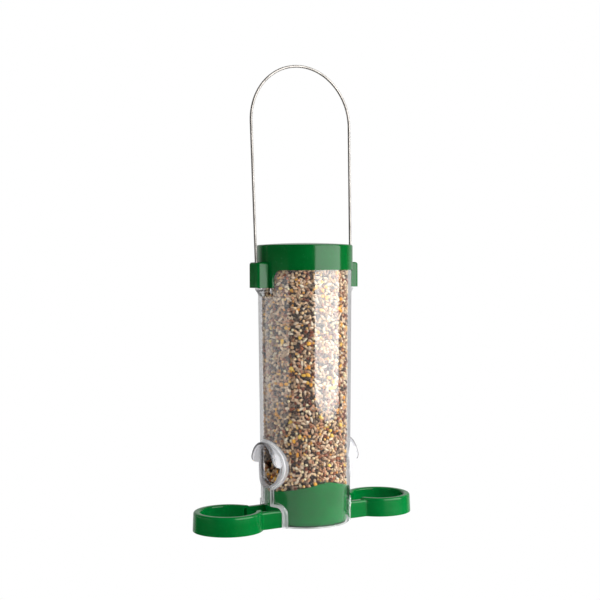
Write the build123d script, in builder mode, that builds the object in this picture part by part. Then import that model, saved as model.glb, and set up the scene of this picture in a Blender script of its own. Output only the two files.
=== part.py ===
from build123d import *
from math import cos, radians, sin, sqrt, tan
import os

# A hanging seed feeder: a clear tube with two feeding ports, a green cap that
# slides up a wire bail, and a green base whose arms carry two ring perches.
# Millimetres, +Z up. The origin is on the tube's axis, in the plane of the
# bottom. Ports, perches, lugs and the legs of the bail lie along X.

# tube
tube_radius = 35.0        # outside, at the shoulder
tube_draft = 0.56         # degrees, the tube narrows towards the bottom
tube_wall = 2.0
shoulder_height = 187.0
neck_length = 13.5        # the part inside the cap
neck_step = 0.65          # how far the neck is set in from the outside
foot_round = 0.8

# cap
skirt_wall = 1.15
skirt_height = 18.5
cap_fit = 0.3             # gap between neck and skirt, and between shoulder and skirt
cap_top = 2.0             # thickness of the top
cap_crown = 1.5           # how far the top bulges
cap_round = 1.4
apron_half_width = 11.0
apron_drop = 12.9         # how far an apron reaches below the skirt
apron_round = 6.5         # inside corner between skirt and apron
apron_gap = 0.5           # gap between an apron and its recess in the tube

# lugs on the cap, which run along the legs of the bail
lug_depth = 8.5           # outwards from the skirt
lug_half_width = 6.9
lug_height = 18.7
lug_wall = 1.0
lug_roof = 1.5
lug_corner = 3.0
lug_top_round = 2.0
lug_play = 4.5            # the leg may move this far sideways in its lug
lug_spare = 1.0           # and this far outwards, because the legs spread

# bail
wire_radius = 1.0
wire_fit = 0.3            # gap round the wire in the lugs and in the tube's holes
bail_height = 339.9       # from the bottom of the feeder to the top of the wire
leg_spread = 1.7          # each leg, from its hook up to the arch
bail_lean = 2.1           # degrees, the bail lies back against its stop
hook_bend = 3.0           # centre-line radius of the bend into the tube
hook_inside = 3.0         # wire past the inner wall of the tube
hook_above_edge = 7.0     # axis of the hooks above the lower edge of the aprons

# ledge on the tube under each apron
ledge_reach = 3.2         # outwards from the tube
ledge_drop = 6.0
ledge_half_angle = 16.0

# ports
port_radius = 15.5        # opening
port_wall = 1.5
port_fit = 0.1            # gap between a port and its hole
port_lip = 1.2            # how far the lower rim stands out from the tube
visor_reach = 3.5         # front of the visor beyond the tube's side
visor_round = 5.0
collar_depth = 4.2        # past the inner wall of the tube, at the port's middle
hood_depth = 8.0          # further inside, over the upper half
hood_taper = 14.0         # degrees

# raised bead round each port and notch
bead_height = 0.8
bead_width = 1.5
throat_length = 12.5      # from the notch up to the port's hole
throat_half_width = 5.5
throat_bead = 2.0
notch_half_width = 16.2
notch_round = 4.5
notch_bead = 3.2
notch_headroom = 1.9      # above the arms

# base
base_fit = 0.35           # gap between base and tube
base_wall = 1.8
base_recess = 2.0         # the plug ends this far above the bottom
ridge_height = 33.4       # where the two chutes would meet
ridge_round = 25.0
chute_slope = 14.5        # degrees, down towards each port

# perches
perch_radius = 25.0       # outside, at the top
perch_gap = 7.4           # from the foot of the tube to the ring
perch_height = 13.8
perch_rim = 5.0
perch_wall = 1.5
perch_draft = 2.4         # degrees
perch_round = 1.7
arm_half_width = 14.7
arm_height = 12.5
arm_rim = 4.4
arm_round = 1.5
web_round = 5.0           # inside corner between arm and ring
web_inset = 0.6           # the web starts this far inside the ring

# seed
seed_fit = 0.5            # gap to the tube, the base and the ports
seed_drop = 10.5          # from the top of the tube down to the seed
hook_pocket = 1.0         # gap round the hooks

far = 120.0               # longer than anything it cuts

tube_slope = tan(radians(tube_draft))
perch_slope = tan(radians(perch_draft))
foot_radius = tube_radius - shoulder_height * tube_slope
neck_radius = tube_radius - neck_step
neck_top = shoulder_height + neck_length
skirt_inner = neck_radius + cap_fit
cap_radius = skirt_inner + skirt_wall
skirt_edge = shoulder_height + cap_fit
cap_edge = skirt_edge + skirt_height
apron_edge = skirt_edge - apron_drop
hook_height = apron_edge + hook_above_edge
lug_outer = cap_radius + lug_depth
leg_radius = lug_outer - lug_wall - lug_spare - wire_fit - wire_radius
arch_radius = leg_radius + leg_spread
perch_x = foot_radius + perch_gap + perch_radius
notch_top = arm_height + notch_headroom
port_outer = port_radius + port_wall
hole_radius = port_outer + port_fit
port_height = notch_top + throat_length + hole_radius
seed_level = neck_top - seed_drop


def outside(height):
    return tube_radius - (shoulder_height - height) * tube_slope


def inside(height):
    return outside(height) - tube_wall


collar_x = inside(port_height) - collar_depth
hood_x = collar_x - hood_depth
visor_x = outside(port_height) + visor_reach


# solid that fills the bore between two heights, less a gap all round
def bore_filling(gap, low, high):
    with BuildPart() as filling:
        with BuildSketch(Plane.XZ):
            with BuildLine():
                Polyline(
                    (0, low),
                    (inside(low) - gap, low),
                    (inside(high) - gap, high),
                    (0, high),
                    close=True,
                )
            make_face()
        revolve(axis=Axis.Z)
    return filling.part


# everything below the two chutes, moved up by lift
def below_chutes(lift):
    run = tube_radius * 2
    peak = ridge_height + lift
    eaves = peak - run * tan(radians(chute_slope))
    with BuildPart() as block:
        with BuildSketch(Plane.XZ):
            with BuildLine():
                FilletPolyline((-run, eaves), (0, peak), (run, eaves), radius=ridge_round)
                Polyline((run, eaves), (run, -far), (-run, -far), (-run, eaves))
            make_face()
        extrude(amount=run, both=True)
    return block.part


# ring round the tube's axis between two radii, kept where an outline crosses it along X
def side_panels(inner, outer, low, high, outline):
    with BuildPart() as panels:
        with BuildSketch(Plane.XY.offset(low)):
            Circle(outer)
            Circle(inner, mode=Mode.SUBTRACT)
        extrude(amount=high - low)
        extrude(outline, amount=far, both=True, mode=Mode.INTERSECT)
    return panels.part


# outline of an apron with its inside corners, grown by gap
def apron_outline(gap):
    half = apron_half_width + gap
    low = apron_edge - gap
    bend = apron_round - gap
    shelf = skirt_edge - gap
    high = neck_top + cap_fit
    with BuildSketch(Plane.YZ) as outline:
        with BuildLine():
            Polyline((-half, shelf - bend), (-half, low), (half, low), (half, shelf - bend))
            RadiusArc((half, shelf - bend), (half + bend, shelf), bend)
            Polyline((half + bend, shelf), (half + bend, high), (-half - bend, high), (-half - bend, shelf))
            RadiusArc((-half - bend, shelf), (-half, shelf - bend), bend)
        make_face()
    return outline.sketch


# outline of port, throat and notch, each grown by its own amount
def keyhole_outline(port_grow, throat_grow, notch_grow):
    with BuildSketch(Plane.YZ) as outline:
        Rectangle((notch_half_width + notch_grow) * 2, (notch_top + notch_grow) * 2)
        fillet(outline.vertices(), notch_round + notch_grow)
        with Locations((0, port_height)):
            Circle(hole_radius + port_grow)
            Rectangle(
                (throat_half_width + throat_grow) * 2,
                throat_length + hole_radius,
                align=(Align.CENTER, Align.MAX),
            )
    return outline.sketch


# --- tube ---
with BuildPart() as bead:
    bead_root = tube_wall / 2
    bead_top = port_height + hole_radius + bead_width
    with BuildSketch(Plane.XZ):
        with BuildLine():
            Polyline(
                (inside(0) + bead_root, 0),
                (outside(0) + bead_height, 0),
                (outside(bead_top) + bead_height, bead_top),
                (inside(bead_top) + bead_root, bead_top),
                close=True,
            )
        make_face()
    revolve(axis=Axis.Z)
    bead_outline = keyhole_outline(bead_width, throat_bead, notch_bead)
    extrude(bead_outline, amount=far, both=True, mode=Mode.INTERSECT)
    extrude(keyhole_outline(0, 0, 0), amount=far, both=True, mode=Mode.SUBTRACT)

with BuildPart() as tube:
    with BuildSketch(Plane.XZ):
        with BuildLine():
            Polyline(
                (inside(0), 0),
                (outside(0), 0),
                (outside(shoulder_height), shoulder_height),
                (neck_radius, shoulder_height),
                (neck_radius, neck_top),
                (inside(neck_top), neck_top),
                close=True,
            )
        make_face()
    revolve(axis=Axis.Z)
    fillet(tube.edges().group_by(Axis.Z)[0].sort_by(SortBy.RADIUS)[-1], foot_round)
    add(
        side_panels(neck_radius, far, apron_edge - apron_gap, neck_top, apron_outline(apron_gap)),
        mode=Mode.SUBTRACT,
    )
    # ledge under each apron
    ledge_top = apron_edge - apron_gap
    ledge_root = inside(ledge_top) + tube_wall / 2
    ledge_face = outside(ledge_top) + ledge_reach
    for side in (0, 180):
        with BuildSketch(Plane.XZ.rotated((0, 0, side - ledge_half_angle))):
            with BuildLine():
                Polyline(
                    (ledge_root, ledge_top),
                    (ledge_face, ledge_top),
                    (ledge_face, ledge_top - foot_round),
                    (outside(ledge_top - ledge_drop), ledge_top - ledge_drop),
                    (ledge_root, ledge_top - ledge_drop),
                    close=True,
                )
            make_face()
        revolve(axis=Axis.Z, revolution_arc=2 * ledge_half_angle)
    add(bead.part)
    # port holes and notches, right through both sides
    with BuildSketch(Plane.YZ):
        with Locations((0, port_height)):
            Circle(hole_radius)
    extrude(amount=far, both=True, mode=Mode.SUBTRACT)
    with BuildSketch(Plane.YZ) as notch:
        Rectangle(notch_half_width * 2, notch_top * 2)
        fillet(notch.vertices(), notch_round)
    extrude(amount=far, both=True, mode=Mode.SUBTRACT)
    # holes for the hooks of the bail
    with BuildSketch(Plane.YZ):
        with Locations((0, hook_height)):
            Circle(wire_radius + wire_fit)
    extrude(amount=far, both=True, mode=Mode.SUBTRACT)


# --- ports ---
with BuildPart() as port_right:
    port_plane = Plane(origin=(collar_x, 0, port_height), x_dir=(0, 1, 0), z_dir=(1, 0, 0))
    with BuildSketch(port_plane):
        Circle(port_outer)
        Circle(port_radius, mode=Mode.SUBTRACT)
    extrude(amount=visor_x - collar_x)
    # the lower half ends in a lip that follows the tube
    with BuildSketch(Plane.XY.offset(port_height)):
        Circle(far)
        Circle(outside(port_height) + port_lip, mode=Mode.SUBTRACT)
    extrude(amount=-port_outer - port_wall, mode=Mode.SUBTRACT)
    # round lower corners on the visor
    with BuildSketch(Plane.XZ):
        with Locations((visor_x, port_height)):
            Rectangle(visor_round, visor_round, align=(Align.MAX, Align.MIN))
        with Locations((visor_x - visor_round, port_height + visor_round)):
            Circle(visor_round, mode=Mode.SUBTRACT)
    extrude(amount=far, both=True, mode=Mode.SUBTRACT)
    # hood over the upper half, open below
    hood = (port_outer, hood_depth, Mode.ADD)
    hood_room = (port_radius, hood_depth - port_wall, Mode.SUBTRACT)
    for radius, depth, mode in (hood, hood_room):
        with BuildSketch(port_plane):
            Circle(radius)
            Rectangle(far, far, align=(Align.CENTER, Align.MAX), mode=Mode.SUBTRACT)
        extrude(amount=-depth, taper=hood_taper, mode=mode)

with BuildPart() as port_left:
    add(port_right.part.mirror(Plane.YZ))


# --- cap ---
with BuildPart() as lug:
    with BuildSketch(Plane.XY.offset(apron_edge)) as lug_plan:
        with Locations((skirt_inner + skirt_wall / 2, 0)):
            Rectangle(
                lug_outer - skirt_inner - skirt_wall / 2,
                lug_half_width * 2,
                align=(Align.MIN, Align.CENTER),
            )
        fillet(lug_plan.vertices().group_by(Axis.X)[-1], lug_corner)
    extrude(amount=lug_height)
    fillet(lug.faces().sort_by(Axis.Z)[-1].edges().sort_by(Axis.X)[1:], lug_top_round)
    # room for the leg under the lug's roof
    leg_room = (wire_radius + lug_play) * 2
    with BuildSketch(Plane.XY.offset(apron_edge)):
        with Locations((lug_outer - lug_wall, 0)):
            Rectangle(lug_outer - lug_wall - skirt_inner, leg_room, align=(Align.MAX, Align.CENTER))
    extrude(amount=lug_height - lug_roof, mode=Mode.SUBTRACT)
    # slot for the leg through the roof
    with BuildSketch(Plane.XY.offset(apron_edge)):
        with Locations((lug_outer - lug_wall, 0)):
            Rectangle(
                (wire_radius + wire_fit) * 2 + lug_spare,
                leg_room,
                align=(Align.MAX, Align.CENTER),
            )
    extrude(amount=lug_height, mode=Mode.SUBTRACT)

with BuildPart() as cap:
    with BuildSketch(Plane.XZ):
        cap_outside = (cap_radius, cap_edge, Mode.ADD)
        cap_room = (skirt_inner, cap_edge - cap_top, Mode.SUBTRACT)
        for radius, edge, mode in (cap_outside, cap_room):
            crown_radius = (radius**2 + cap_crown**2) / (2 * cap_crown)
            with BuildLine():
                Polyline((0, edge + cap_crown), (0, skirt_edge), (radius, skirt_edge), (radius, edge))
                RadiusArc((radius, edge), (0, edge + cap_crown), -crown_radius)
            make_face(mode=mode)
    revolve(axis=Axis.Z)
    skirt_side = cap.faces().filter_by(GeomType.CYLINDER).sort_by(SortBy.AREA)[-1]
    fillet(skirt_side.edges().sort_by(Axis.Z)[-1], cap_round)
    add(side_panels(skirt_inner, cap_radius, apron_edge, skirt_edge + skirt_wall, apron_outline(0)))
    add(lug.part)
    add(lug.part.mirror(Plane.YZ))
    # slots that let the hooks pass, open at the bottom
    with BuildSketch(Plane.YZ):
        with Locations((0, hook_height)):
            Circle(wire_radius + cap_fit)
            Rectangle((wire_radius + cap_fit) * 2, hook_above_edge * 2, align=(Align.CENTER, Align.MAX))
    extrude(amount=leg_radius, both=True, mode=Mode.SUBTRACT)


# --- bail ---
lean = radians(bail_lean)
bail_plane = Plane(origin=(0, 0, hook_height), x_dir=(1, 0, 0), z_dir=(0, -cos(lean), sin(lean)))
with BuildPart() as bail_wire:
    hook_end = inside(hook_height) - hook_inside
    leg = (bail_height - hook_height - wire_radius) / cos(lean) - arch_radius
    with BuildLine(bail_plane):
        FilletPolyline((-hook_end, 0), (-leg_radius, 0), (-arch_radius, leg), radius=hook_bend)
        ThreePointArc((-arch_radius, leg), (0, leg + arch_radius), (arch_radius, leg))
        FilletPolyline((arch_radius, leg), (leg_radius, 0), (hook_end, 0), radius=hook_bend)
    with BuildSketch(Plane(origin=(-hook_end, 0, hook_height), z_dir=(-1, 0, 0))):
        Circle(wire_radius)
    sweep()


# --- base ---
arm_centre = arm_half_width - arm_rim / 2
arm_gap = (arm_half_width - arm_rim) * 2
rim_middle = perch_radius - perch_rim / 2
arm_end = perch_x - sqrt(rim_middle**2 - arm_centre**2)
ring_axis = Axis((perch_x, 0, 0), (0, 0, 1))

with BuildPart() as perch:
    # arms, with a web in the corners where they meet the ring
    with BuildSketch(Plane.XY.offset(arm_height)) as arms:
        with Locations((perch_x, 0)):
            Circle(perch_radius - web_inset)
        Rectangle(perch_x, arm_half_width * 2, align=(Align.MIN, Align.CENTER))
        ring_side = perch_x - perch_radius
        corners = arms.vertices().filter_by(lambda corner: ring_side < corner.X < perch_x - web_round)
        fillet(corners, web_round)
    extrude(amount=-arm_height, taper=-perch_draft)
    fillet(perch.faces().sort_by(Axis.Z)[-1].edges(), arm_round)
    # ring
    with BuildSketch(Plane.XZ) as section:
        with BuildLine():
            Polyline(
                (perch_x + perch_radius - perch_rim, 0),
                (perch_x + perch_radius + perch_height * perch_slope, 0),
                (perch_x + perch_radius, perch_height),
                (perch_x + perch_radius - perch_rim, perch_height),
                close=True,
            )
        make_face()
        fillet(section.vertices().group_by(Axis.Y)[-1], perch_round)
    revolve(axis=ring_axis)
    # the opening runs on between the arms
    with BuildSketch(Plane.XY):
        with Locations((perch_x, 0)):
            Circle(perch_radius - perch_rim)
            Rectangle(perch_x, arm_gap, align=(Align.MAX, Align.CENTER))
    extrude(amount=arm_height, mode=Mode.SUBTRACT)
    with BuildSketch(Plane.XY.offset(arm_height)):
        with Locations((perch_x, 0)):
            Rectangle(perch_x, arm_gap, align=(Align.MAX, Align.CENTER))
    extrude(amount=perch_height, mode=Mode.SUBTRACT)
    # hollow underneath
    with BuildSketch(Plane.XY) as groove:
        with Locations((perch_x, 0)):
            Circle(perch_radius - perch_wall)
            Circle(perch_radius - perch_rim + perch_wall, mode=Mode.SUBTRACT)
    extrude(amount=perch_height - perch_wall - perch_round / 2, mode=Mode.SUBTRACT)

with BuildPart() as hollow:
    add(bore_filling(base_fit + base_wall, -base_wall, ridge_height))
    add(below_chutes(-base_wall), mode=Mode.INTERSECT)

with BuildPart() as base:
    add(bore_filling(base_fit, base_recess, ridge_height))
    add(below_chutes(0), mode=Mode.INTERSECT)
    add(perch.part)
    add(perch.part.mirror(Plane.YZ))
    add(hollow.part, mode=Mode.SUBTRACT)


# --- seed ---
with BuildPart() as seed_fill:
    add(bore_filling(seed_fit, base_recess, seed_level))
    add(below_chutes(seed_fit), mode=Mode.SUBTRACT)
    # clear of each port: under its hood the seed slopes down to the collar
    for side in (-1, 1):
        room_plane = Plane(origin=(0, 0, port_height), x_dir=(0, side, 0), z_dir=(side, 0, 0))
        with BuildSketch(room_plane.offset(hood_x - seed_fit)):
            Circle(port_outer + seed_fit)
            Rectangle(far, far, align=(Align.CENTER, Align.MAX), mode=Mode.SUBTRACT)
        extrude(amount=far, mode=Mode.SUBTRACT)
        with BuildSketch(room_plane.offset(collar_x - seed_fit)):
            Circle(port_outer + seed_fit)
        extrude(amount=far, mode=Mode.SUBTRACT)
        with BuildSketch(Plane.XZ):
            with BuildLine():
                Polyline(
                    (side * (hood_x - seed_fit), port_height),
                    (side * collar_x, port_height),
                    (side * collar_x, port_height - port_radius / 2),
                    close=True,
                )
            make_face()
        extrude(amount=port_outer + seed_fit, both=True, mode=Mode.SUBTRACT)
        # clear of the hook
        pocket_end = (side * (hook_end - hook_pocket), 0, hook_height)
        with BuildSketch(Plane(origin=pocket_end, z_dir=(side, 0, 0))):
            Circle(wire_radius + hook_pocket)
        extrude(amount=far, mode=Mode.SUBTRACT)


os.makedirs("parts", exist_ok=True)
nodes = {
    "tube": tube,
    "port_left": port_left,
    "port_right": port_right,
    "cap": cap,
    "bail_wire": bail_wire,
    "base": base,
    "seed_fill": seed_fill,
}
for name, node in nodes.items():
    node.part.label = name
    export_step(node.part, f"parts/{name}.step")
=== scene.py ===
import bmesh
import bpy
from math import cos, pi, radians, sin
from mathutils import Matrix, Vector


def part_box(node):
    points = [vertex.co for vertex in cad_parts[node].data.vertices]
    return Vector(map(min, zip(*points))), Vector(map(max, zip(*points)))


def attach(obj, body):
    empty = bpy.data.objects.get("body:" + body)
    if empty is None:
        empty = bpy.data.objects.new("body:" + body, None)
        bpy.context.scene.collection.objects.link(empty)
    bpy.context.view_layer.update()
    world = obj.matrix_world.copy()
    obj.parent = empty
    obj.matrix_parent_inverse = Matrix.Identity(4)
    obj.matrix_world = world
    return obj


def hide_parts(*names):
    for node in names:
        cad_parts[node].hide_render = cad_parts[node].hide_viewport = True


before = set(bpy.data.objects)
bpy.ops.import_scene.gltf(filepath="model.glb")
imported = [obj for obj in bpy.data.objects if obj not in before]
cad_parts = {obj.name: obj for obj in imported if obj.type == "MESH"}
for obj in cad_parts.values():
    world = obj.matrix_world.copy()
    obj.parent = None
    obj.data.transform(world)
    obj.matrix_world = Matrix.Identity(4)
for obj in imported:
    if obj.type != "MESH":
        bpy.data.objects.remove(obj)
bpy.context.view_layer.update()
scene = bpy.context.scene
scene.view_settings.view_transform = "Standard"
print("frame loaded:", ", ".join(sorted(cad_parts)))


# adds a node, sets its properties, and fills its inputs with values or links
def addNode(tree, kind, inputs=None, **properties):
    node = tree.nodes.new(kind)
    for name, value in properties.items():
        setattr(node, name, value)
    for name, value in (inputs or {}).items():
        if isinstance(value, bpy.types.NodeSocket):
            tree.links.new(value, node.inputs[name])
        else:
            node.inputs[name].default_value = value
    return node


def math(tree, operation, *values):
    return addNode(tree, "ShaderNodeMath", dict(enumerate(values)), operation=operation).outputs[0]


def startMaterial(name):
    material = bpy.data.materials.new(name)
    material.use_nodes = True
    material.node_tree.nodes.clear()
    return material, material.node_tree


def finishMaterial(tree, surface):
    addNode(tree, "ShaderNodeOutputMaterial", {"Surface": surface})


# noise on Object coordinates, stretched by the three numbers in scale
def objectNoise(tree, scale, detail=3.0, roughness=0.5):
    place = addNode(tree, "ShaderNodeTexCoord").outputs["Object"]
    stretched = addNode(tree, "ShaderNodeMapping", {"Vector": place, "Scale": scale}).outputs[0]
    inputs = {"Vector": stretched, "Scale": 1.0, "Detail": detail, "Roughness": roughness}
    return addNode(tree, "ShaderNodeTexNoise", inputs).outputs[0]


def mapRange(tree, value, low, high, newLow, newHigh):
    inputs = {"Value": value, "From Min": low, "From Max": high, "To Min": newLow, "To Max": newHigh}
    return addNode(tree, "ShaderNodeMapRange", inputs).outputs[0]


def mixColour(tree, factor, first, second):
    node = addNode(tree, "ShaderNodeMix", {0: factor, 6: first, 7: second}, data_type="RGBA")
    return node.outputs[2]


def addBump(tree, height, distance, strength=1.0):
    inputs = {"Height": height, "Distance": distance, "Strength": strength}
    return addNode(tree, "ShaderNodeBump", inputs).outputs[0]


cameraSettings = {
    "lens": 72.34,
    "sensor": 36.0,
    "distance": 0.8996,    # metres from the feeder's axis
    "height": 0.1935,
    "azimuth": 31.43,      # degrees, from straight in front towards the left
    "pitch": 1.828,        # down
    "pan": 0.225,
    "roll": -0.209,
}
up = Vector((0, 0, 1))
turn = radians(cameraSettings["azimuth"])
ahead = Vector((sin(turn), cos(turn), 0))
sideways = ahead.cross(up)


def placeCamera():
    pitch = radians(cameraSettings["pitch"])
    roll = radians(cameraSettings["roll"])
    level = Matrix.Rotation(radians(cameraSettings["pan"]), 3, "Z") @ ahead
    right = level.cross(up)
    gaze = level * cos(pitch) - up * sin(pitch)
    top = right.cross(gaze)
    right, top = right * cos(roll) + top * sin(roll), top * cos(roll) - right * sin(roll)
    data = bpy.data.cameras.new("camera")
    data.lens = cameraSettings["lens"]
    data.sensor_width = cameraSettings["sensor"]
    data.clip_start = 0.01
    camera = bpy.data.objects.new("camera", data)
    scene.collection.objects.link(camera)
    turned = Matrix((right, top, -gaze)).transposed().to_4x4()
    eye = up * cameraSettings["height"] - ahead * cameraSettings["distance"]
    camera.matrix_world = Matrix.Translation(eye) @ turned
    scene.camera = camera


placeCamera()
print("camera placed")


studioSettings = {
    "floorSize": 12.0,
    "floorHeight": -0.056,   # the feeder hangs, with room to pull its base out
    "floorTone": 0.8,
    "floorMirrored": 0.06,   # its tone when seen in something glossy
    "floorGlow": 1.0,        # seen by the camera only
    "ambient": 0.03,         # the dim side of the room
    "backdrop": 0.55,        # the bright side, behind the feeder
    "roomEdge": (0.5, 0.75), # cosines from straight ahead where the dim side turns bright
    "insideWalls": 0.5,      # what light has left after turning back inside the plastic
    "aimHeight": 0.12,
    # angle from the camera's side, distance, width, lower edge, height, brightness, mirrored
    "softboxes": {
        "softboxRight": (58.5, 1.0, 1.34, -0.07, 1.34, 4.6, True),
        "fillRight": (95.0, 1.2, 1.2, 0.0, 1.3, 3.8, False),
        "fillLeft": (-75.0, 1.0, 1.4, 0.0, 1.3, 1.15, False),
        "cardLeft": (-78.0, 1.0, 1.6, -0.1, 0.25, 0.95, True),
        "softboxTop": (180.0, 0.3, 1.0, 1.3, 1.0, 2.0, False),
    },
}


# 1 where something is seen directly or straight through the clear plastic
def plainView(tree):
    path = addNode(tree, "ShaderNodeLightPath").outputs
    straight = math(tree, "MAXIMUM", path["Is Camera Ray"], path["Is Transmission Ray"])
    bounces = math(tree, "ADD", path["Glossy Depth"], path["Diffuse Depth"])
    inside = mapRange(tree, bounces, 0.0, 1.0, 1.0, studioSettings["insideWalls"])
    return math(tree, "MULTIPLY", straight, inside)


def lightWorld():
    world = bpy.data.worlds.new("studio")
    world.use_nodes = True
    tree = world.node_tree
    tree.nodes.clear()
    direction = addNode(tree, "ShaderNodeTexCoord").outputs["Generated"]
    facing = addNode(tree, "ShaderNodeVectorMath", {0: direction, 1: ahead}, operation="DOT_PRODUCT")
    tones = (studioSettings["ambient"], studioSettings["backdrop"])
    room = mapRange(tree, facing.outputs["Value"], *studioSettings["roomEdge"], *tones)
    brightness = math(tree, "MAXIMUM", room, plainView(tree))
    background = addNode(tree, "ShaderNodeBackground", {"Color": (1, 1, 1, 1), "Strength": brightness})
    addNode(tree, "ShaderNodeOutputWorld", {"Surface": background.outputs[0]})
    scene.world = world


def addSoftbox(name, angle, distance, width, edge, height, brightness, mirrored):
    turned = radians(angle)
    lamp = bpy.data.lights.new(name, "AREA")
    lamp.shape = "RECTANGLE"
    lamp.size = width
    lamp.size_y = height
    lamp.energy = brightness * pi * width * height
    box = bpy.data.objects.new(name, lamp)
    scene.collection.objects.link(box)
    box.location = (sideways * sin(turned) - ahead * cos(turned)) * distance + up * (edge + height / 2)
    aim = Vector((0, 0, box.location.z if edge <= 0 else studioSettings["aimHeight"]))
    box.rotation_euler = (aim - box.location).to_track_quat("-Z", "Y").to_euler()
    box.visible_camera = False
    box.visible_glossy = mirrored
    box.visible_transmission = mirrored


def layFloor():
    half = studioSettings["floorSize"] / 2
    mesh = bpy.data.meshes.new("floor")
    height = studioSettings["floorHeight"]
    corners = [(-half, -half, height), (half, -half, height), (half, half, height), (-half, half, height)]
    mesh.from_pydata(corners, [], [(0, 1, 2, 3)])
    floor = bpy.data.objects.new("floor", mesh)
    scene.collection.objects.link(floor)
    material, tree = startMaterial("palePaper")
    grain = mapRange(tree, objectNoise(tree, (400, 400, 400)), 0.3, 0.7, 0.97, 1.0)
    mirrored = addNode(tree, "ShaderNodeLightPath").outputs["Glossy Depth"]
    tones = (studioSettings["floorTone"], studioSettings["floorMirrored"])
    tone = math(tree, "MULTIPLY", grain, mapRange(tree, mirrored, 0.0, 1.0, *tones))
    paper = addNode(tree, "ShaderNodeBsdfDiffuse", {"Color": tone}).outputs[0]
    inputs = {"Color": (1, 1, 1, 1), "Strength": studioSettings["floorGlow"]}
    glow = addNode(tree, "ShaderNodeEmission", inputs).outputs[0]
    mixed = addNode(tree, "ShaderNodeMixShader", {0: plainView(tree), 1: paper, 2: glow})
    finishMaterial(tree, mixed.outputs[0])
    mesh.materials.append(material)
    floor.visible_glossy = False


lightWorld()
for boxName, boxSettings in studioSettings["softboxes"].items():
    addSoftbox(boxName, *boxSettings)
layFloor()
print("studio lit")


clearSettings = {
    "tubeTint": (1.0, 0.995, 1.0, 1),
    "portTint": (0.66, 0.66, 0.685, 1),
    "ior": 1.49,
    # roughness where it's clean and where it's rubbed
    "tubePolish": (0.012, 0.05),
    "portPolish": (0.07, 0.13),
    "tubeCoat": 0.22,
    "portCoat": 0.0,
    "coatPolish": 0.02,
    "coatIor": 1.6,
    "shadowTint": (0.95, 0.95, 0.95, 1),
    "ripple": 0.00006,            # metres of moulding waviness
    # haze colours; on the tube's beads the haze serves as a painted highlight
    "tubeHaze": (0.85, 0.85, 0.87, 1),
    "portHaze": (0.7, 0.7, 0.72, 1),
    "tubeMilk": 0.006,
    "portMilk": (0.34, 0.08),     # in the thick of its mouth and elsewhere
    "portMouth": 0.0325,
    "portFade": (0.0015, 0.0030),
    # white haze on the beads, a painted highlight
    "beadPaintedHighlight": 0.45,
    # the keyhole cut in the wall, in metres: port, throat and notch. These repeat the
    # CAD's sizes and don't follow them, so they are changed together
    "portHeight": 0.044,
    "portHole": 0.0171,
    "throat": 0.0055,
    "notchHalfWidth": 0.0162,
    "notchTop": 0.0144,
    "notchRound": 0.0045,
    "beadWidth": 0.0018,
}


def hypotenuse(tree, *sides):
    squares = [math(tree, "MULTIPLY", side, side) for side in sides]
    return math(tree, "SQRT", math(tree, "ADD", *squares))


# how far a point of the tube's wall lies outside the keyhole cuts, seen along X
def keyholeDistance(tree):
    place = addNode(tree, "ShaderNodeTexCoord").outputs["Object"]
    part = addNode(tree, "ShaderNodeSeparateXYZ", {0: place}).outputs
    across = math(tree, "ABSOLUTE", part[1])
    rise = math(tree, "SUBTRACT", part[2], clearSettings["portHeight"])
    port = math(tree, "SUBTRACT", hypotenuse(tree, across, rise), clearSettings["portHole"])
    throat = math(tree, "SUBTRACT", across, clearSettings["throat"])
    throat = math(tree, "MAXIMUM", throat, rise)
    rounding = clearSettings["notchRound"]
    side = math(tree, "SUBTRACT", across, clearSettings["notchHalfWidth"] - rounding)
    top = math(tree, "SUBTRACT", part[2], clearSettings["notchTop"] - rounding)
    sideOut = math(tree, "MAXIMUM", side, 0.0)
    topOut = math(tree, "MAXIMUM", top, 0.0)
    within = math(tree, "MINIMUM", math(tree, "MAXIMUM", side, top), 0.0)
    beyond = hypotenuse(tree, sideOut, topOut)
    notch = math(tree, "SUBTRACT", math(tree, "ADD", beyond, within), rounding)
    return math(tree, "MINIMUM", math(tree, "MINIMUM", port, throat), notch)


# clear moulded plastic with some milk in it; lamps shine through it as through a thin wall
def makeClearPlastic(piece, milk):
    material, tree = startMaterial(piece + "Plastic")
    rubbed = objectNoise(tree, (30, 30, 9), detail=6.0, roughness=0.65)
    ripple = objectNoise(tree, (22, 22, 12), detail=1.0)
    bump = addBump(tree, ripple, clearSettings["ripple"])
    inputs = {
        "Base Color": clearSettings[piece + "Tint"],
        "Roughness": mapRange(tree, rubbed, 0.45, 0.75, *clearSettings[piece + "Polish"]),
        "IOR": clearSettings["ior"],
        "Transmission Weight": 1.0,
        "Coat Weight": clearSettings[piece + "Coat"],
        "Coat Roughness": clearSettings["coatPolish"],
        "Coat IOR": clearSettings["coatIor"],
        "Normal": bump,
    }
    plastic = addNode(tree, "ShaderNodeBsdfPrincipled", inputs).outputs[0]
    inputs = {"Color": clearSettings[piece + "Haze"], "Normal": bump}
    haze = addNode(tree, "ShaderNodeBsdfDiffuse", inputs).outputs[0]
    hazy = addNode(tree, "ShaderNodeMixShader", {0: milk(tree), 1: plastic, 2: haze}).outputs[0]
    inputs = {"Color": clearSettings["shadowTint"]}
    through = addNode(tree, "ShaderNodeBsdfTransparent", inputs).outputs[0]
    shadow = addNode(tree, "ShaderNodeLightPath").outputs["Is Shadow Ray"]
    mixed = addNode(tree, "ShaderNodeMixShader", {0: shadow, 1: hazy, 2: through})
    finishMaterial(tree, mixed.outputs[0])
    return material


# the beads round the keyholes get far more white haze than the wall: a painted highlight for the lamp they
# catch
def tubeMilk(tree):
    width = clearSettings["beadWidth"]
    milks = (clearSettings["beadPaintedHighlight"], clearSettings["tubeMilk"])
    middle = math(tree, "SUBTRACT", keyholeDistance(tree), width / 2)
    return mapRange(tree, math(tree, "ABSOLUTE", middle), width * 0.4, width * 0.6, *milks)


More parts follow.
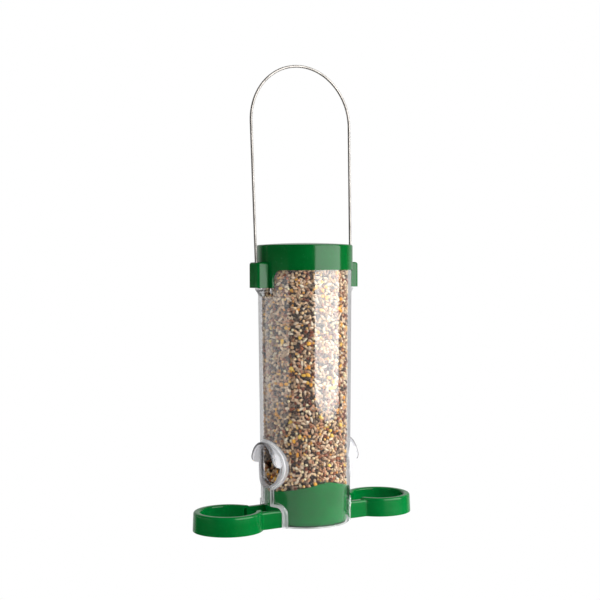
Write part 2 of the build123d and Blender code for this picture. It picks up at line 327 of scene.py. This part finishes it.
def portMilk(tree):
    place = addNode(tree, "ShaderNodeTexCoord").outputs["Object"]
    along = addNode(tree, "ShaderNodeSeparateXYZ", {0: place}).outputs[0]
    away = math(tree, "SUBTRACT", math(tree, "ABSOLUTE", along), clearSettings["portMouth"])
    fade, milks = clearSettings["portFade"], clearSettings["portMilk"]
    return mapRange(tree, math(tree, "ABSOLUTE", away), *fade, *milks)


greenSettings = {
    # deep and light green of the two mouldings, and of the base's lower
    #     # rim, set darker than the base as painted shade
    # the cap's pair is darker than the base's: painted shade for the higher, less lit part of the feeder
    "cap": ((0.0, 0.071, 0.011, 1), (0.0, 0.089, 0.015, 1)),
    "base": ((0.0, 0.105, 0.017, 1), (0.0, 0.128, 0.024, 1)),
    # painted shade: the lower rim's green is darker than the base it belongs to
    "baseRimPaintedShade": ((0.0, 0.028, 0.005, 1), (0.0, 0.036, 0.007, 1)),
    "dust": (0.04, 0.17, 0.07, 1),
    "gloss": (0.09, 0.17),
    "ior": 1.40,
    "peel": 0.00002,             # metres of orange peel on the moulded skin
}


# glossy moulded green with flow marks, faint orange peel and a little dust
def makeGreenPlastic(nodeName):
    material, tree = startMaterial(nodeName + "Green")
    flow = objectNoise(tree, (18, 18, 55), detail=4.0, roughness=0.6)
    speck = objectNoise(tree, (900, 900, 900), detail=1.0)
    body = mixColour(tree, mapRange(tree, flow, 0.35, 0.65, 0, 1), *greenSettings[nodeName])
    dusty = mapRange(tree, speck, 0.7, 0.76, 0, 0.35)
    peel = objectNoise(tree, (260, 260, 260), detail=2.0)
    inputs = {
        "Base Color": mixColour(tree, dusty, body, greenSettings["dust"]),
        "Roughness": mapRange(tree, flow, 0.3, 0.7, *greenSettings["gloss"]),
        "IOR": greenSettings["ior"],
        "Normal": addBump(tree, peel, greenSettings["peel"]),
    }
    finishMaterial(tree, addNode(tree, "ShaderNodeBsdfPrincipled", inputs).outputs[0])
    return material


rimSettings = {
    "radius": 0.0302,     # metres, outside
    "wall": 0.0012,
    "top": 0.0026,
    "bottom": 0.0004,
    "steps": 96,
}


# a guessed lower rim of the base, which the CAD hasn't got, coloured darker than the base as painted shade;
# it shows through the tube's foot
def makeBaseRim():
    shape = bmesh.new()
    steps = rimSettings["steps"]
    outer = rimSettings["radius"]
    inner = outer - rimSettings["wall"]
    low, high = rimSettings["bottom"], rimSettings["top"]
    section = [(outer, low), (outer, high), (inner, high), (inner, low)]
    rings = []
    for step in range(steps):
        angle = 2 * pi * step / steps
        places = [(radius * cos(angle), radius * sin(angle), height) for radius, height in section]
        rings.append([shape.verts.new(place) for place in places])
    for step in range(steps):
        here, following = rings[step], rings[(step + 1) % steps]
        for corner in range(4):
            after = (corner + 1) % 4
            shape.faces.new((here[corner], following[corner], following[after], here[after]))
    bmesh.ops.recalc_face_normals(shape, faces=shape.faces)
    mesh = bpy.data.meshes.new("baseRimPaintedShade")
    shape.to_mesh(mesh)
    shape.free()
    rim = bpy.data.objects.new("baseRimPaintedShade", mesh)
    scene.collection.objects.link(rim)
    # the rim takes the darker green, painted shade at the tube's foot
    mesh.materials.append(makeGreenPlastic("baseRimPaintedShade"))
    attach(rim, "base")


wireSettings = {
    "bright": (0.40, 0.375, 0.35, 1),
    "dull": (0.20, 0.185, 0.17, 1),
    "gloss": (0.34, 0.5),
    "metallic": 0.8,
    "drawMarks": 0.00002,
}


# drawn steel, its fine lines running along the legs
def makeSteel():
    material, tree = startMaterial("drawnSteel")
    lines = objectNoise(tree, (2600, 2600, 60), detail=2.0)
    stain = objectNoise(tree, (120, 120, 45), detail=5.0, roughness=0.7)
    stained = mapRange(tree, stain, 0.4, 0.7, 0, 1)
    inputs = {
        "Base Color": mixColour(tree, stained, wireSettings["bright"], wireSettings["dull"]),
        "Metallic": wireSettings["metallic"],
        "Roughness": mapRange(tree, stain, 0.35, 0.7, *wireSettings["gloss"]),
        "Normal": addBump(tree, lines, wireSettings["drawMarks"]),
    }
    finishMaterial(tree, addNode(tree, "ShaderNodeBsdfPrincipled", inputs).outputs[0])
    return material


def dress(nodeName, material):
    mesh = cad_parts[nodeName].data
    if not mesh.materials:
        mesh.materials.append(material)
    for index in range(len(mesh.materials)):
        mesh.materials[index] = material


portPlastic = makeClearPlastic("port", portMilk)
dress("tube", makeClearPlastic("tube", tubeMilk))
for portNode in ("port_left", "port_right"):
    dress(portNode, portPlastic)
for greenNode in ("cap", "base"):
    dress(greenNode, makeGreenPlastic(greenNode))
makeBaseRim()
dress("bail_wire", makeSteel())
print("plastic and steel done")


# millimetres where nothing else is said; share is the part of all seeds
seedSettings = {
    "growth": 1.1,             # all seeds together
    "outerSpacing": 2.05,
    "outerDepth": 0.8,
    "innerSpacing": 2.4,
    "innerDepth": 2.2,
    "depthSpread": 0.5,
    "density": 900000.0,       # most points to try, per square metre
    "randomSeed": 11,
    "coreSkin": 2.8,           # the dark core starts this far inside the fill
    "coreVoxel": 1.6,
    # the core's colours are painted shade, standing in for shadowed seeds further in
    "coreShadeDeep": (0.018, 0.009, 0.004, 1),
    "coreShadePale": (0.055, 0.027, 0.012, 1),
    "kinds": {
        "canarySeed": {
            "share": 0.22, "size": (3.3, 1.8, 1.6), "taper": 0.25, "tilt": 16.0, "stripes": 2.0,
            "colours": ((0.70, 0.46, 0.27), (0.38, 0.22, 0.11), (0.92, 0.70, 0.48)),
        },
        "hulledOat": {
            "share": 0.16, "size": (4.0, 1.9, 1.7), "taper": 0.15, "tilt": 12.0, "stripes": 3.0,
            "colours": ((0.88, 0.64, 0.42), (0.55, 0.35, 0.20), (0.95, 0.83, 0.62)),
        },
        "rosyGroats": {
            "share": 0.13, "size": (3.0, 1.9, 1.7), "taper": 0.2, "tilt": 20.0, "stripes": 0.0,
            "colours": ((0.499, 0.235, 0.116), (0.266, 0.114, 0.052), (0.799, 0.427, 0.233)),
        },
        "paleMillet": {
            "share": 0.16, "size": (2.1, 2.0, 1.9), "taper": 0.05, "tilt": 40.0, "stripes": 0.0,
            "colours": ((0.92, 0.66, 0.36), (0.72, 0.42, 0.18), (0.95, 0.84, 0.52)),
        },
        "goldenMillet": {
            "share": 0.06, "size": (2.0, 1.9, 1.8), "taper": 0.05, "tilt": 40.0, "stripes": 0.0,
            "colours": ((0.85, 0.42, 0.09), (0.64, 0.27, 0.05), (0.92, 0.58, 0.18)),
        },
        "maizeGrit": {
            "share": 0.04, "size": (3.4, 2.7, 2.0), "taper": 0.3, "tilt": 24.0, "stripes": 0.0,
            "colours": ((0.92, 0.47, 0.04), (0.90, 0.36, 0.03), (0.92, 0.64, 0.12)),
        },
        "redMilo": {
            "share": 0.09, "size": (2.6, 2.3, 2.0), "taper": 0.1, "tilt": 30.0, "stripes": 0.0,
            "colours": ((0.216, 0.05, 0.014), (0.125, 0.031, 0.011), (0.366, 0.106, 0.029)),
        },
        "stripedSeed": {
            "share": 0.04, "size": (5.2, 2.5, 1.8), "taper": 0.4, "tilt": 8.0, "stripes": 4.0,
            "colours": ((0.100, 0.060, 0.035), (0.045, 0.028, 0.016), (0.22, 0.145, 0.09)),
        },
        "darkSeed": {
            "share": 0.10, "size": (2.5, 1.8, 1.6), "taper": 0.2, "tilt": 25.0, "stripes": 0.0,
            "colours": ((0.055, 0.024, 0.009), (0.100, 0.042, 0.016), (0.026, 0.012, 0.005)),
        },
    },
}
milli = 0.001


# the fill's own mesh with its triangles joined up
def mergedFill(name):
    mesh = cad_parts["seed_fill"].data.copy()
    shape = bmesh.new()
    shape.from_mesh(mesh)
    bmesh.ops.remove_doubles(shape, verts=shape.verts, dist=0.00001)
    shape.to_mesh(mesh)
    shape.free()
    fill = bpy.data.objects.new(name, mesh)
    scene.collection.objects.link(fill)
    return fill


# plain mesh object from whatever the modifiers make of the given one
def settled(source, name):
    graph = bpy.context.evaluated_depsgraph_get()
    mesh = bpy.data.meshes.new_from_object(source.evaluated_get(graph))
    mesh.name = name
    piece = bpy.data.objects.new(name, mesh)
    scene.collection.objects.link(piece)
    return piece


def storeNumber(tree, inputs, domain):
    kind = "GeometryNodeStoreNamedAttribute"
    return addNode(tree, kind, inputs, data_type="FLOAT", domain=domain).outputs[0]


# multiplies vectors, or scales one where the second input is a number
def stretchVector(tree, operation, vector, amount):
    place = 3 if operation == "SCALE" else 1
    return addNode(tree, "ShaderNodeVectorMath", {0: vector, place: amount}, operation=operation).outputs[0]


# scatters one kind of seed in two layers just inside the surface it is given
def makeScatterTree():
    tree = bpy.data.node_groups.new("seedScatter", "GeometryNodeTree")
    tree.is_modifier = True
    sockets = [("Surface", "Geometry"), ("Outer Spacing", "Float"), ("Outer Depth", "Float"),
               ("Inner Spacing", "Float"), ("Inner Depth", "Float"), ("Depth Spread", "Float"),
               ("Density", "Float"), ("Base Top", "Float"), ("Seed", "Int"),
               ("Share From", "Float"), ("Share To", "Float"), ("Half Size", "Vector"),
               ("Taper", "Float"), ("Tilt", "Float"), ("Material", "Material")]
    for name, kind in sockets:
        tree.interface.new_socket(name, in_out="INPUT", socket_type="NodeSocket" + kind)
    tree.interface.new_socket("Seeds", in_out="OUTPUT", socket_type="NodeSocketGeometry")
    given = addNode(tree, "NodeGroupInput").outputs

    # one seed lying along X, thinner towards one end; span and girth stay with its skin
    ball = addNode(tree, "GeometryNodeMeshUVSphere", {"Segments": 6, "Rings": 5, "Radius": 1.0})
    lying = addNode(tree, "GeometryNodeTransform", {"Geometry": ball.outputs[0], "Rotation": (0, pi / 2, 0)})
    place = addNode(tree, "GeometryNodeInputPosition").outputs[0]
    part = addNode(tree, "ShaderNodeSeparateXYZ", {0: place}).outputs
    seed = lying.outputs[0]
    for name, value in (("span", part[0]), ("girth", part[1])):
        inputs = {"Geometry": seed, "Name": name, "Value": value}
        seed = storeNumber(tree, inputs, "POINT")
    thin = math(tree, "MULTIPLY_ADD", math(tree, "MULTIPLY", part[0], given["Taper"]), -1.0, 1.0)
    slim = addNode(tree, "ShaderNodeCombineXYZ", {0: 1.0, 1: thin, 2: thin}).outputs[0]
    shaped = stretchVector(tree, "MULTIPLY", place, slim)
    sized = stretchVector(tree, "MULTIPLY", shaped, given["Half Size"])
    seed = addNode(tree, "GeometryNodeSetPosition", {"Geometry": seed, "Position": sized}).outputs[0]

    def randomValue(kind, low, high, salt):
        number = math(tree, "ADD", given["Seed"], float(salt))
        node = addNode(tree, "FunctionNodeRandomValue", {"Seed": number}, data_type=kind)
        sockets = {"FLOAT_VECTOR": (0, 1, 0), "FLOAT": (2, 3, 1)}[kind]
        for index, value in ((sockets[0], low), (sockets[1], high)):
            if isinstance(value, bpy.types.NodeSocket):
                tree.links.new(value, node.inputs[index])
            else:
                node.inputs[index].default_value = value
        return node.outputs[sockets[2]]

    # none on the underside, which rests on the base
    facing = addNode(tree, "GeometryNodeInputNormal").outputs[0]
    lift = addNode(tree, "ShaderNodeSeparateXYZ", {0: facing}).outputs[2]
    upwards = math(tree, "GREATER_THAN", lift, -0.6)
    high = math(tree, "GREATER_THAN", part[2], given["Base Top"])
    notBelow = math(tree, "MAXIMUM", upwards, high)
    joined = addNode(tree, "GeometryNodeJoinGeometry")
    for number, layer in enumerate(("Outer", "Inner")):
        salt = number * 20
        inputs = {
            "Mesh": given["Surface"], "Selection": notBelow, "Distance Min": given[layer + " Spacing"],
            "Density Max": given["Density"], "Seed": math(tree, "ADD", given["Seed"], float(salt)),
        }
        points = addNode(tree, "GeometryNodeDistributePointsOnFaces", inputs, distribute_method="POISSON")
        share = randomValue("FLOAT", 0.0, 1.0, salt + 1)
        above = math(tree, "GREATER_THAN", share, given["Share From"])
        below = math(tree, "LESS_THAN", share, given["Share To"])
        mine = math(tree, "MULTIPLY", above, below)
        inputs = {"Geometry": points.outputs[0], "Selection": mine}
        kept = addNode(tree, "GeometryNodeSeparateGeometry", inputs)
        extra = math(tree, "MULTIPLY", randomValue("FLOAT", 0.0, 1.0, salt + 2), given["Depth Spread"])
        depth = math(tree, "MULTIPLY", math(tree, "ADD", given[layer + " Depth"], extra), -1.0)
        inward = stretchVector(tree, "SCALE", points.outputs["Normal"], depth)
        sunk = addNode(tree, "GeometryNodeSetPosition", {"Geometry": kept.outputs[0], "Offset": inward})
        around = randomValue("FLOAT", 0.0, 2 * pi, salt + 3)
        spin = addNode(tree, "ShaderNodeCombineXYZ", {2: around}).outputs[0]
        lean = math(tree, "MULTIPLY", given["Tilt"], -1.0)
        tip = randomValue("FLOAT", lean, given["Tilt"], salt + 4)
        heel = randomValue("FLOAT", lean, given["Tilt"], salt + 5)
        rocked = addNode(tree, "ShaderNodeCombineXYZ", {0: tip, 1: heel}).outputs[0]
        turned = points.outputs["Rotation"]
        for step in (spin, rocked):
            inputs = {0: turned, 1: step}
            turned = addNode(tree, "FunctionNodeRotateRotation", inputs, rotation_space="LOCAL").outputs[0]
        inputs = {
            "Points": sunk.outputs[0], "Instance": seed, "Rotation": turned,
            "Scale": randomValue("FLOAT_VECTOR", (0.8, 0.85, 0.85), (1.15, 1.12, 1.12), salt + 6),
        }
        placed = addNode(tree, "GeometryNodeInstanceOnPoints", inputs).outputs[0]
        inputs = {"Geometry": placed, "Name": "tone", "Value": randomValue("FLOAT", 0.0, 1.0, salt + 7)}
        tree.links.new(storeNumber(tree, inputs, "INSTANCE"), joined.inputs[0])
    real = addNode(tree, "GeometryNodeRealizeInstances", {"Geometry": joined.outputs[0]})
    smooth = addNode(tree, "GeometryNodeSetShadeSmooth", {"Geometry": real.outputs[0]})
    inputs = {"Geometry": smooth.outputs[0], "Material": given["Material"]}
    coated = addNode(tree, "GeometryNodeSetMaterial", inputs)
    addNode(tree, "NodeGroupOutput", {0: coated.outputs[0]})
    return tree


# husk colour picked by each seed's own tone, with darker tips, stripes and a matt grain
def makeSeedMaterial(name, kind):
    material, tree = startMaterial(name)
    tone = addNode(tree, "ShaderNodeAttribute", attribute_name="tone").outputs["Fac"]
    span = addNode(tree, "ShaderNodeAttribute", attribute_name="span").outputs["Fac"]
    girth = addNode(tree, "ShaderNodeAttribute", attribute_name="girth").outputs["Fac"]
    ramp = addNode(tree, "ShaderNodeValToRGB", {"Fac": tone})
    ramp.color_ramp.elements.new(0.5)
    middle, dark, pale = kind["colours"]
    for element, colour in zip(ramp.color_ramp.elements, (dark, middle, pale)):
        element.color = (*colour, 1)
    grain = objectNoise(tree, (700, 700, 700), detail=3.0)
    shade = mapRange(tree, grain, 0.3, 0.7, 0.64, 1.0)
    tip = mapRange(tree, math(tree, "ABSOLUTE", span), 0.6, 1.0, 1.0, 0.6)
    shade = math(tree, "MULTIPLY", shade, tip)
    if kind["stripes"]:
        wave = math(tree, "SINE", math(tree, "MULTIPLY", girth, kind["stripes"] * pi))
        shade = math(tree, "MULTIPLY", shade, mapRange(tree, wave, -1.0, 1.0, 0.72, 1.1))
    tinted = stretchVector(tree, "SCALE", ramp.outputs[0], shade)
    inputs = {
        "Base Color": tinted,
        "Roughness": mapRange(tree, grain, 0.3, 0.7, 0.45, 0.7),
        "Specular IOR Level": 0.35,
        "Normal": addBump(tree, grain, 0.00012),
    }
    finishMaterial(tree, addNode(tree, "ShaderNodeBsdfPrincipled", inputs).outputs[0])
    return material


def scatterSeeds():
    tree = makeScatterTree()
    identifiers = {item.name: item.identifier for item in tree.interface.items_tree if item.in_out == "INPUT"}
    fill = mergedFill("fillSurface")
    low = 0.0
    for name, kind in seedSettings["kinds"].items():
        modifier = fill.modifiers.new("seeds", "NODES")
        modifier.node_group = tree
        values = {
            "Outer Spacing": seedSettings["outerSpacing"] * milli,
            "Outer Depth": seedSettings["outerDepth"] * milli,
            "Inner Spacing": seedSettings["innerSpacing"] * milli,
            "Inner Depth": seedSettings["innerDepth"] * milli,
            "Depth Spread": seedSettings["depthSpread"] * milli,
            "Density": seedSettings["density"],
            "Base Top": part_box("base")[1].z,
            "Seed": seedSettings["randomSeed"],
            "Share From": low,
            "Share To": low + kind["share"],
            "Half Size": [size * seedSettings["growth"] * milli / 2 for size in kind["size"]],
            "Taper": kind["taper"],
            "Tilt": radians(kind["tilt"]),
            "Material": makeSeedMaterial(name, kind),
        }
        for socket, value in values.items():
            modifier[identifiers[socket]] = value
        low += kind["share"]
        piece = settled(fill, name)
        fill.modifiers.remove(modifier)
        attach(piece, "feeder")
        print(name, len(piece.data.polygons), "faces")
    bpy.data.objects.remove(fill)


# what shows between the seeds: a dark core inside the fill, painted shade for the seeds deeper in
def makeSeedCore():
    fill = mergedFill("fillCore")
    remesh = fill.modifiers.new("remesh", "REMESH")
    remesh.mode = "VOXEL"
    remesh.voxel_size = seedSettings["coreVoxel"] * milli
    shrink = fill.modifiers.new("shrink", "DISPLACE")
    shrink.strength = -seedSettings["coreSkin"] * milli
    shrink.mid_level = 0.0
    core = settled(fill, "seedCore")
    bpy.data.objects.remove(fill)
    # dark brown cells, painted shade between the seeds
    material, tree = startMaterial("paintedShadeBetweenSeeds")
    place = addNode(tree, "ShaderNodeTexCoord").outputs["Object"]
    cells = addNode(tree, "ShaderNodeTexVoronoi", {"Vector": place, "Scale": 420.0})
    share = mapRange(tree, cells.outputs["Distance"], 0.2, 0.7, 1, 0)
    inputs = {
        "Base Color": mixColour(tree, share, seedSettings["coreShadeDeep"], seedSettings["coreShadePale"]),
        "Roughness": 0.8,
        "Normal": addBump(tree, share, 0.0008),
    }
    finishMaterial(tree, addNode(tree, "ShaderNodeBsdfPrincipled", inputs).outputs[0])
    core.data.materials.clear()
    core.data.materials.append(material)
    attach(core, "feeder")
    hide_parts("seed_fill")


scatterSeeds()
makeSeedCore()
print("seed poured")
